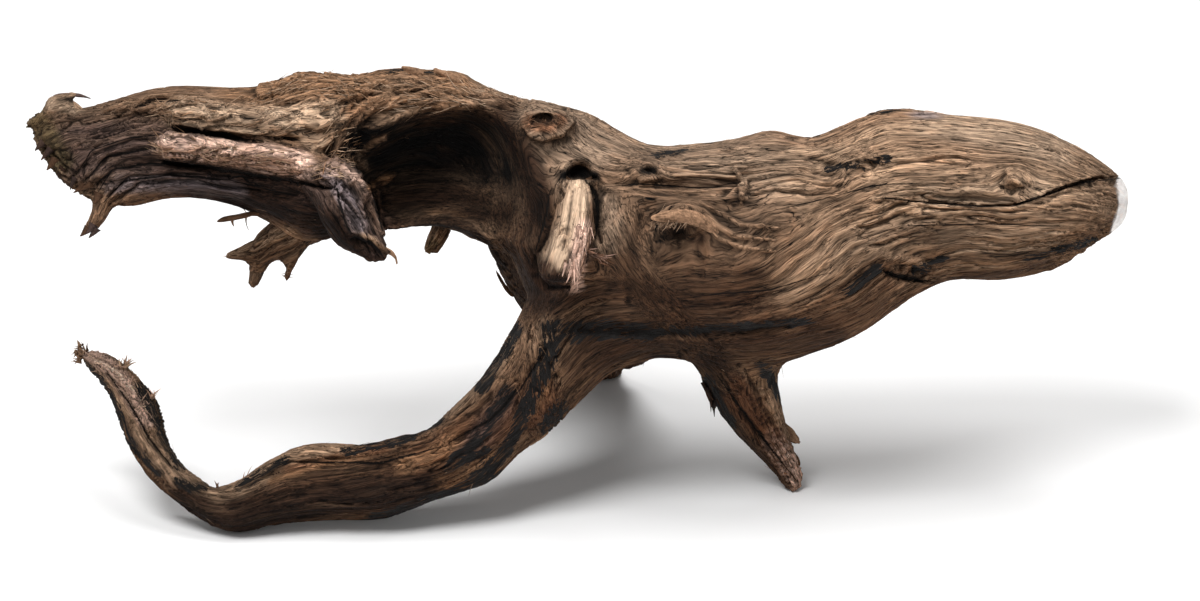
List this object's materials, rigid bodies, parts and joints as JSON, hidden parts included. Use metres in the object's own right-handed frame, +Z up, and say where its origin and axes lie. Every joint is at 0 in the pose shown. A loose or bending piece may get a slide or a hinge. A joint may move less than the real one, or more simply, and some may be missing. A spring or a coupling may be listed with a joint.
{
  "type": "piece of driftwood",
  "caption": "Weathered driftwood stump with a rounded head, a hollow arch, a torn arm and a curling root, standing on its root bend and short legs.",
  "frame": {"origin": "bottom centre of the bounding box, on the ground the three feet stand on", "axes": "+X towards the rounded head, +Z up, the hollow side faces -Y"},
  "size_m": [0.5509, 0.2012, 0.2175],
  "materials": {
    "weathered_wood": "dry, matt, weathered bare wood with ridged grain and charcoal-dark streaks"
  },
  "bodies": {
    "root": {"driftwood": "weathered_wood"}
  },
  "joints": []
}
